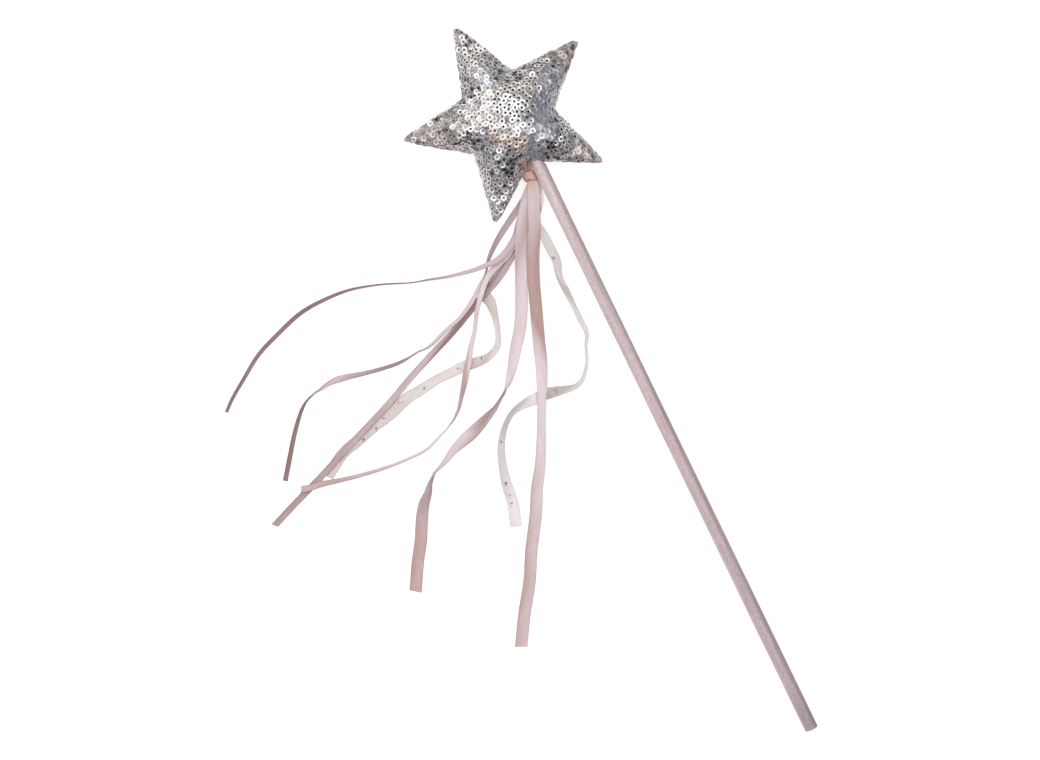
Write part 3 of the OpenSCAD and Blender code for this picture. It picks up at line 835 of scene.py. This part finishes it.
# Routes from the knot: x, y and height of the ribbon's middle in millimetres, and its turn in degrees,
# 0 flat and 90 on edge.
ROUTES = {
    "wide_tail_long": [
        (-1.5, 104, 10.2, 0), (-5, 96, 9.1, 0), (-10, 85, 7.4, 0), (-16, 74, 5.6, 0), (-21, 63, 4, 5),
        (-26, 50, 3, 5), (-31, 37, 2.9, 0), (-35, 26, 3.3, -15), (-39, 17, 3.9, -33), (-43, 9, 3.9, -45),
        (-48, -1, 3, -45), (-52, -9, 2.3, -40), (-57, -18, 1.9, -32), (-63, -27, 1.2, -18),
        (-69, -38, 0.5, 0), (-78, -52, 0.5, 5), (-86, -66, 0.5, 5), (-95, -79, 0.4, 0), (-103, -92, 0.3, 0),
    ],
    "wide_tail_twisted": [
        (-2, 104, 9.7, 0), (-8, 98, 8.5, 0), (-15, 88, 6.7, 0), (-21, 77, 4.7, 5), (-30, 58, 2.9, 0),
        (-36, 47, 2, -10), (-42, 39, 2, -22), (-48, 31, 2.5, -38), (-53, 25, 3, -62), (-57, 21, 3.2, -90),
        (-63, 17, 3.1, -110), (-70, 14, 2.5, -133), (-78, 11, 1.2, -165), (-85, 9, 1.7, -207),
        (-91, 7, 2.4, -228), (-97, 4, 2.9, -245), (-103, 2, 3.2, -265), (-107, -1, 3.1, -285),
        (-111, -6, 2.6, -308), (-115, -10, 1.7, -330), (-119, -16, 0.9, -348), (-124, -25, 0.4, -357),
        (-130, -34, 0.3, -360), (-137, -46, 0.3, -360),
    ],
    "narrow_tail_far": [
        (-1.5, 104, 8.8, 0), (-11, 95, 7.2, 0), (-21, 85, 5.2, 0), (-31, 80, 5.2, -20), (-41, 80, 4.9, -45),
        (-48, 81, 3.9, -52), (-57, 83, 2.8, -65), (-67, 86, 2, -75), (-74, 88, 1.8, -85),
        (-89, 94, 1.8, -100), (-103, 98, 1.8, -110), (-117, 99, 1.7, -120), (-129, 98, 1.6, -125),
        (-142, 94, 1.6, -125), (-155, 89, 1.6, -122), (-166, 82, 1.7, -118), (-175, 76, 1.7, -115),
        (-181, 71, 1.7, -112),
    ],
    "narrow_tail_swept": [
        (-2.5, 104, 7.9, 0), (-10, 99, 6.7, 5), (-17, 95, 5.8, 13), (-24, 91, 4.6, 25), (-30, 87, 3.4, 40),
        (-36, 82, 2.3, 60), (-40, 77, 1.7, 85), (-45, 73, 1.6, 115), (-51, 68, 1.6, 133),
        (-60, 63, 1.7, 124), (-70, 60, 1.6, 125), (-79, 57, 1.7, 115), (-86, 57, 1.8, 92),
        (-95, 56, 1.6, 64), (-104, 57, 1.5, 57), (-114, 59, 1.4, 48), (-122, 61, 0.9, 22),
        (-129, 62, 1.2, -35), (-136, 61, 1.7, -68), (-141, 60, 1.8, -90), (-147, 57, 1.7, -113),
        (-153, 51, 1.5, -124), (-158, 45, 1.5, -128), (-164, 37, 1.4, -132), (-170, 29, 1.4, -132),
    ],
    "narrow_tail_straight": [
        (-1, 104, 7.4, 0), (-10, 95, 5.7, 0), (-19, 85, 3.8, 0), (-27, 77, 2.7, 0), (-37, 71, 2, 5),
        (-47, 67, 1.7, 12), (-67, 58, 1, 18), (-80, 53, 1, 12), (-95, 47, 0.9, 5), (-106, 42, 0.9, 0),
        (-121, 36, 0.9, 0), (-137, 30, 0.9, 0), (-152, 24, 0.9, 0), (-160, 21, 0.8, 0), (-171, 17, 0.4, 0),
        (-184, 12, 0.3, 0),
    ],
    "narrow_tail_crossing": [
        (-1, 104, 8.4, 0), (-11, 94, 6.5, 0), (-19, 86, 5.1, 0), (-27, 80, 4.2, -5), (-35, 77, 3.8, -15),
        (-42, 73, 3.6, -30), (-51, 63, 3.3, -48), (-57, 54, 2.6, -52), (-61, 49, 3, -45),
        (-66, 42, 3.4, -20), (-72, 34, 2.9, 25), (-76, 29, 2.3, 50), (-81, 23, 1.9, 65), (-87, 19, 1.8, 85),
        (-94, 16, 1.7, 105), (-103, 13, 1.7, 110), (-115, 13, 1.6, 112), (-126, 14, 1.6, 118),
        (-138, 16, 1.5, 124), (-147, 18, 1.7, 130), (-155, 20, 2.1, 150), (-161, 21, 2, 170),
        (-165, 22, 1.5, 175),
    ],
    "sheer_tail_inner": [
        (-1, 103.5, 6.9, 0), (-11, 94, 4.7, 0), (-21, 83, 3, 0), (-31, 76, 1.4, 0), (-44, 69, 0.6, -5),
        (-44, 63, 1.4, -25), (-45, 56, 2.5, -55), (-47, 49, 2.7, -63), (-50, 43, 2.6, -57),
        (-56, 40, 2.4, -50), (-62, 40, 1.6, -30), (-69, 41, 1.2, -20), (-75, 41, 1.6, -28),
        (-83, 41, 1.8, -35), (-92, 40, 1.2, -20), (-101, 39, 0.6, -7), (-110, 36, 0.3, 0),
        (-120, 34, 0.3, 0), (-131, 31, 0.3, 0), (-139, 29, 0.3, 0), (-146, 25, 0.3, 0), (-151, 22, 0.3, 0),
    ],
    "sheer_tail_outer": [
        (-0.5, 104, 9.3, 0), (-2, 98, 8.4, 0), (-4.5, 93, 6.2, -45), (-6, 89, 5.2, -90), (-7, 85, 4.7, -120),
        (-7, 81, 4.1, -140), (-7, 74, 3.5, -148), (-7, 67, 2.5, -142), (-9, 60, 2.4, -127),
        (-9, 52, 2.5, -127), (-9, 44, 2.6, -118), (-9, 37, 2.6, -122), (-9, 30, 2.7, -115),
        (-12, 24, 2.8, -106), (-15, 17, 2.8, -107), (-20, 11, 2.8, -112), (-25, 9, 2.7, -118),
        (-31, 10, 2.2, -135), (-35, 11, 1.4, -155), (-40, 12, 0.5, -175), (-45, 12, 0.8, -168),
        (-51, 12, 2, -140), (-57, 11, 2.6, -120), (-62, 8, 2.7, -118), (-66, 4, 2.6, -122),
        (-70, -2, 2.4, -130), (-73, -10, 2.1, -138), (-75, -18, 1.6, -150), (-76, -25, 0.8, -168),
        (-77, -30, 0.4, -180), (-80, -39, 0.3, -180),
    ],
}


# Painted light and shade along each tail: share of its length, and tone from 0 dark to 1 light.
PAINTED_TONES = {
    "wide_tail_long": {
        0: 0.75, 0.06: 0.7, 0.1: 0.4, 0.15: 0.2, 0.2: 0.08, 0.32: 0.02, 0.345: 0.35, 0.38: 0.75, 0.45: 1,
        0.6: 0.8, 0.66: 0.6, 0.8: 0.5, 0.87: 0.4, 1: 0.45,
    },
    "wide_tail_twisted": {
        0: 0.75, 0.05: 0.85, 0.09: 0.55, 0.13: 0.35, 0.15: 0.3, 0.2: 0.7, 0.25: 0.9, 0.36: 0.8, 0.45: 1,
        0.48: 0.9, 0.5: 0.6, 0.53: 0.5, 0.57: 0.15, 0.6: 0.4, 0.64: 0.85, 0.7: 0.9, 0.73: 0.6, 0.76: 0.45,
        0.8: 0.25, 0.86: 0.25, 1: 0.2,
    },
    "narrow_tail_far": {
        0: 0.7, 0.2: 0.75, 0.3: 0.85, 0.36: 0.6, 0.4: 0.2, 0.6: 0.05, 0.7: 0.12, 1: 0.2,
    },
    "narrow_tail_swept": {
        0: 1, 0.06: 0.95, 0.1: 0.65, 0.2: 0.65, 0.26: 1, 0.42: 1, 0.5: 0.85, 0.54: 0.5, 0.57: 0.3,
        0.62: 0.45, 0.66: 0.75, 0.73: 0.9, 0.76: 0.5, 0.79: 0.1, 1: 0.18,
    },
    "narrow_tail_straight": {
        0: 0.6, 0.15: 0.6, 0.25: 0.6, 0.28: 0.3, 0.33: 0.1, 0.38: 0, 0.41: 0.05, 0.43: 0.3, 0.46: 0.65,
        0.51: 0.8, 0.58: 0.65, 0.7: 0.6, 0.76: 0.45, 0.86: 0.4, 1: 0.3,
    },
    "narrow_tail_crossing": {
        0: 0.7, 0.2: 0.9, 0.42: 1, 0.45: 0.8, 0.48: 0.4, 0.5: 0.2, 0.55: 0.35, 0.58: 0.7, 0.62: 1,
        0.72: 0.95, 0.8: 0.55, 0.88: 0.35, 1: 0.25,
    },
    "sheer_tail_inner": {
        0: 0.4, 0.3: 0.2, 0.38: 0.25, 0.45: 0.6, 0.48: 0.35, 0.5: -0.1, 0.53: 0.45, 0.58: 0.6, 0.7: 0.3,
        0.85: 0.15, 1: 0.25,
    },
    "sheer_tail_outer": {
        0: 0.9, 0.14: 0.95, 0.18: 0.7, 0.25: 0.75, 0.28: 0.2, 0.31: 0.2, 0.34: 0.9, 0.54: 1, 0.57: 0.25,
        0.61: 0.15, 0.63: 0.9, 0.67: 0.9, 0.7: 0.35, 0.75: 0.25, 0.8: 0.8, 1: 0.75,
    },
}

# How much more painted light a tail's left half gets, by share of its length.
PAINTED_SIDE_LEANS = {
    "wide_tail_long": {
        0: 0, 0.06: 0.25, 0.1: 0.35, 0.15: 0.35, 0.2: 0.1, 0.345: 0.1, 0.38: 0, 0.45: 0, 0.6: -0.1,
        0.66: -0.2,
    },
    "wide_tail_twisted": {
        0: 0, 0.05: 0.1, 0.09: 0.2, 0.13: 0.2, 0.15: 0.1, 0.2: 0, 0.25: -0.1, 0.36: 0, 0.5: 0, 0.53: 0.1,
        0.57: 0.1, 0.6: 0, 0.73: 0, 0.76: 0.1, 0.8: 0.1, 0.86: -0.15,
    },
    "narrow_tail_straight": {
        0.15: 0, 0.25: 0.1, 0.38: 0.1, 0.41: 0.2, 0.43: 0.2, 0.46: 0.1, 0.51: 0,
    },
}


def smooth_route(points, step):
    """A smooth curve through the points, sampled evenly: Catmull-Rom on all of their values at once."""
    p = np.asarray(points, float)
    p = np.concatenate([[2 * p[0] - p[1]], p, [2 * p[-1] - p[-2]]])
    pieces = []
    for i in range(1, len(p) - 2):
        t = np.linspace(0, 1, 24, endpoint=False)[:, None]
        a, b, c, d = p[i - 1], p[i], p[i + 1], p[i + 2]
        pieces.append(
            0.5 * (2 * b + (c - a) * t + (2 * a - 5 * b + 4 * c - d) * t**2 + (3 * b - a - 3 * c + d) * t**3)
        )
    fine = np.concatenate(pieces + [p[-2:-1]])
    lengths = run_along(fine[:, :3])
    places = np.linspace(0, lengths[-1], int(lengths[-1] / step) + 1)
    return np.stack([np.interp(places, lengths, fine[:, i]) for i in range(p.shape[1])], axis=1), places


# Places across a ribbon, its half thickness there with corded edges, and the places round both faces.
COLUMNS = np.array([-1, -0.96, -0.86, -0.6, -0.3, 0, 0.3, 0.6, 0.86, 0.96, 1.0])
HALF_THICK = np.array([0.5, 1.25, 1.25, 0.85, 0.8, 0.8, 0.8, 0.85, 1.25, 1.25, 0.5]) * TAIL_T / 2
ROUND = np.r_[COLUMNS, COLUMNS[::-1]]


def strip(name, centre, across, face, width, places, material, slant=0.0, cup=0.0):
    """A flat ribbon with corded edges: rings of points across both faces, along the given middle line."""
    n, m = len(centre), len(COLUMNS)
    width, cup = np.broadcast_to(width, n), np.broadcast_to(cup, n)
    picot = 0.08 * MM * np.sin(places * math.tau / (3 * STEP))
    along = unit(np.gradient(centre, axis=0))
    fade = np.clip((places - places[-1]) / (3 * MM) + 1, 0, 1)
    half = width[:, None] / 2 * COLUMNS
    half = half + np.where(np.abs(COLUMNS) > 0.9, np.sign(COLUMNS) * picot[:, None], 0)
    bow = cup[:, None] * (COLUMNS**2 - 0.35)
    middle = (
        centre[:, None]
        + across[:, None] * half[..., None]
        + face[:, None] * bow[..., None]
        + along[:, None] * (slant * COLUMNS * fade[:, None])[..., None]
    )
    out = face[:, None] * HALF_THICK[:, None]
    verts = np.concatenate([middle + out, (middle - out)[:, ::-1]], axis=1).reshape(-1, 3)
    around = 2 * m
    corners = [
        ((i, k), (i + 1, k), (i + 1, (k + 1) % around), (i, (k + 1) % around))
        for i in range(n - 1) for k in range(around)
    ]
    for end, order in ((0, 1), (n - 1, -1)):
        for k in range(m - 1):
            quad = (k, k + 1, around - 2 - k, around - 1 - k)[::order]
            corners.append(tuple((end, q) for q in quad))
    ring, column = np.moveaxis(np.array(corners), -1, 0)
    obj = make_object(name, verts, ring * around + column, material)
    u = ROUND[column] * width[ring] / 2 / MM
    layer = obj.data.uv_layers.new(name="ribbon")
    layer.data.foreach_set("uv", np.stack([u, places[ring] / MM], axis=-1).ravel())
    return obj


def paint_light_and_shade(obj, places, tone_at, shear=0.0, upright_shade=0.0):
    """Gives a strip its tone of painted light and shade, aslant across it, with painted shade at both edges
    and where it stands up.
    """
    tone = tone_at(places[:, None] + shear * ROUND, ROUND)
    tone = tone - EDGE_SHADE * np.abs(ROUND) ** 6 - np.reshape(upright_shade, (-1, 1))
    obj.data.attributes.new("tone", "FLOAT", "POINT").data.foreach_set("value", tone.ravel())


def turned(line, turn):
    """The directions across a ribbon and out of its face, turned about its middle line from lying flat."""
    along = unit(np.gradient(line, axis=0))
    side = unit(np.cross(along, UP))
    up = np.cross(side, along)
    return side * np.cos(turn) + up * np.sin(turn), up * np.cos(turn) - side * np.sin(turn)


def tail_frame(route, width):
    """A tail's middle line, its directions across and out of its face, and the length at each ring."""
    x, _, z, turn = route[0]
    start = (KNOT[0] + 0.4 * (x - KNOT[0]), KNOT[1] - 1.5, 0.5 * (KNOT[2] + z), turn)
    values, places = smooth_route([start, *route], STEP / MM)
    centre, turns = values[:, :3], np.radians(values[:, 3])
    low = width / MM / 2 * np.abs(np.sin(turns)) + TAIL_CLEAR
    centre[:, 2] = np.maximum(centre[:, 2], low)
    return centre * MM, *turned(centre, turns[:, None]), places * MM


def add_tail(name, width, material, slant, shear, seed):
    """One tail, gathered in the knot and cupped where it stands on edge. In millimetres, its cut end slants,
    and its painted light and shade runs ahead at the left edge and lags at the right one."""
    centre, across, face, places = tail_frame(ROUTES[name], width)
    phase = np.random.default_rng(seed).uniform(0, math.tau, 3)
    waves = np.sin(places / (23 * MM) + phase[0]) + 0.6 * np.sin(places / (9 * MM) + phase[1])
    cup = width * 0.02 * waves + 0.2 * width * np.clip(1 - np.abs(face[:, 2]) / 0.4, 0, 1)
    gathered = width * (1 - 0.4 * np.exp(-(places / (2 * MM)) ** 2))
    obj = strip(name + "_ribbon", centre, across, face, gathered, places, material, slant * MM, cup)
    tones, leans = PAINTED_TONES[name], PAINTED_SIDE_LEANS.get(name, {0: 0})

    def tone_at(at, column):
        share = at / places[-1]
        lean = np.interp(share, list(leans), list(leans.values()))
        return np.interp(share, list(tones), list(tones.values())) + lean * column

    sheer = name.startswith("sheer")
    # Painted shade where a tail stands on edge, weaker on the sheer ones.
    upright_shade = (0.3 if sheer else 0.8) * np.clip(0.5 - np.abs(face[:, 2]), 0, 0.5)
    paint_light_and_shade(obj, places, tone_at, shear * MM, upright_shade)
    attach(obj, TAILS)
    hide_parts(name)
    return centre, across, face, places


def add_spots(name, centre, across, face, places, seed, clusters, material):
    """Clusters of glitter spots on a sheer ribbon, at lengths from the knot in millimetres."""
    rng = np.random.default_rng(seed)
    most = 0.42 * SHEER
    verts, faces = [], []
    for at in clusters:
        middle = rng.uniform(-0.25, 0.25) * SHEER
        for _ in range(rng.integers(6, 10)):
            off, slide = rng.normal(0, 0.55 * MM, 2)
            i = min(int(np.searchsorted(places, at * MM + slide)), len(places) - 1)
            out = face[i] * math.copysign(1, face[i][2])
            p = centre[i] + across[i] * np.clip(middle + off, -most, most) + out * 0.16 * MM
            ahead = np.cross(face[i], across[i])
            r = rng.uniform(0.2, 0.4) * MM
            faces += tube_faces(len(verts), 2, 6)
            verts += ring_of(6, p, across[i], ahead, r)
            verts += ring_of(6, p + out * 0.07 * MM, across[i], ahead, 0.7 * r)
    obj = make_object(name, verts, faces, material, smooth=False)
    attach(obj, TAILS)


def add_knot(material):
    """The turn of ribbon round the bunch."""
    turns = np.linspace(-0.3, math.tau * 1.12, 90)
    spread = 1 + 0.1 * np.maximum(turns / math.tau - 0.9, 0) * 5
    rise = (turns / math.tau - 0.5) * 0.8
    cos, sin = np.cos(turns + KNOT_START), np.sin(turns + KNOT_START)
    loop = np.column_stack([KNOT_WIDE * spread * cos, rise - cos, KNOT_HIGH * spread * sin])
    centre = (KNOT + loop) * MM
    along = unit(np.gradient(centre, axis=0))
    across = unit(np.array([0.0, 1.0, 0.0]) + along * 0.15 * np.sin(turns * 1.5)[:, None])
    across = unit(across - along * (across * along).sum(1, keepdims=True))
    face = np.cross(across, along)
    if ((centre - KNOT * MM) * face).sum() < 0:
        across, face = -across, -face
    places = run_along(centre)
    width = (4.6 - 0.9 * np.cos(turns * 2 + 0.6)) * MM
    cup = -0.45 * MM + 0.15 * MM * np.sin(turns * 3)
    obj = strip("knot_ribbon", centre, across, face, width, places, material, cup=cup)
    # Painted bands of light and shade along the turn, for its folds.
    paint_light_and_shade(obj, places, lambda at, _: 0.5 + 0.5 * np.sin(at / (2.2 * MM)), 1.5 * MM)
    on_wand(obj, "satin", "ribbon_knot")


def add_root(material):
    """The folded ends of the ribbons, which run up from the knot into the star's mouth."""
    for k in range(4):
        shift = np.array([-1.5 + 1.2 * k, 0, -0.9 + 0.55 * k])
        path = [
            KNOT + [0.2 * (k - 1.5), 1.0, 0.1 * k],
            KNOT + shift * 0.8 + [0, 3.2, 0.9],
            KNOT + shift + [0, 5.6, 2.2],
            KNOT + shift + [0, 8.5, 2.9],
            KNOT + shift * 0.9 + [0, 12.0, 3.0],
        ]
        values, at = smooth_route(path, 0.5)
        line, places = values * MM, at * MM
        piece = strip(f"root_fold_{k}", line, *turned(line, 0.5 * (k - 1.5)), 3.8 * MM, places, material)
        # Each fold gets its own painted light, darker on the lowest and lighter on the highest.
        paint_light_and_shade(piece, places, lambda way, _: 0.3 + 0.25 * k + 0 * way)
        on_wand(piece, "satin", *(["ribbon_root"] if k == 0 else []))


def build_ribbons():
    blush = satin_material("blush_satin", (218, 207, 211), (174, 144, 139))
    rose = satin_material("rose_satin", (206, 190, 195), (146, 117, 112))
    # The knot and the folded ends take the satin in darker, warmer colours: a shaded copy, painted shade
    # where the ribbons gather.
    knot = satin_material("knot_satin_painted_shade", (208, 172, 164), (160, 114, 106))
    sheer, glitter = sheer_material(), glitter_material()
    add_tail("wide_tail_long", WIDE, blush, 0.3, 8, 1)
    add_tail("wide_tail_twisted", WIDE, blush, -0.4, -10, 2)
    add_tail("narrow_tail_far", NARROW, rose, 0, 8, 3)
    add_tail("narrow_tail_swept", NARROW, rose, 0.1, 8, 4)
    add_tail("narrow_tail_straight", NARROW, rose, 0.6, 14, 5)
    add_tail("narrow_tail_crossing", NARROW, blush, 0.5, 10, 6)
    inner = add_tail("sheer_tail_inner", SHEER, sheer, 0.3, 5, 7)
    outer = add_tail("sheer_tail_outer", SHEER, sheer, 0.2, -5, 8)
    add_spots("inner_glitter", *inner, 31, (99, 111, 130, 143, 154, 160, 168, 182), glitter)
    add_spots("outer_glitter", *outer, 32, (40, 117, 156, 176, 182, 186), glitter)
    add_knot(knot)
    add_root(knot)


# ---- the rest


def dress(node, material):
    """Gives a CAD node that stays visible its material."""
    for slot in frame["nodes"][node].material_slots:
        slot.material = material


def add_floor():
    half = FLOOR_SIZE / 2
    corners = [(-half, -half, 0), (half, -half, 0), (half, half, 0), (-half, half, 0)]
    obj = make_object("floor", corners, [(0, 1, 2, 3)], floor_material())


def light_room():
    """A white studio, brighter overhead and at the upper left, with soft grey patches for the foil."""
    n = Nodes(bpy.data.worlds.new("room"), "Background")
    way = n.add("ShaderNodeTexCoord").outputs["Generated"]
    left = in_view(-0.7, 0.45, 0) - VIEW_CENTRE
    inputs = {0: way, 1: (left.x, left.y, 0.9)}
    toward = n.add("ShaderNodeVectorMath", inputs, operation="DOT_PRODUCT").outputs["Value"]
    level = n.math("ADD", toward, n.noise(way, 2.6))
    colour = n.ramp(level, (0.3, 0.3, 0.31, 0.35), (1.0, 0.92, 0.91, 0.9))
    bpy.context.scene.world = n.set(Color=colour, Strength=0.85)
    add_softbox("key", -1.3, 0.8, 1.6, (2.2, 2.2), 16)
    add_softbox("fill", 1.1, -0.5, 1.8, (1.6, 1.2), 8, (0.97, 0.97, 1.0))
    add_softbox("top", -0.2, 0.2, 2.4, (2.8, 2.8), 26)


add_camera()
build_ribbons()
build_star()
dress("stick", paint_material())
dress("glue_plug", glue_material())
add_floor()
light_room()
bpy.context.scene.view_settings.view_transform = "Standard"
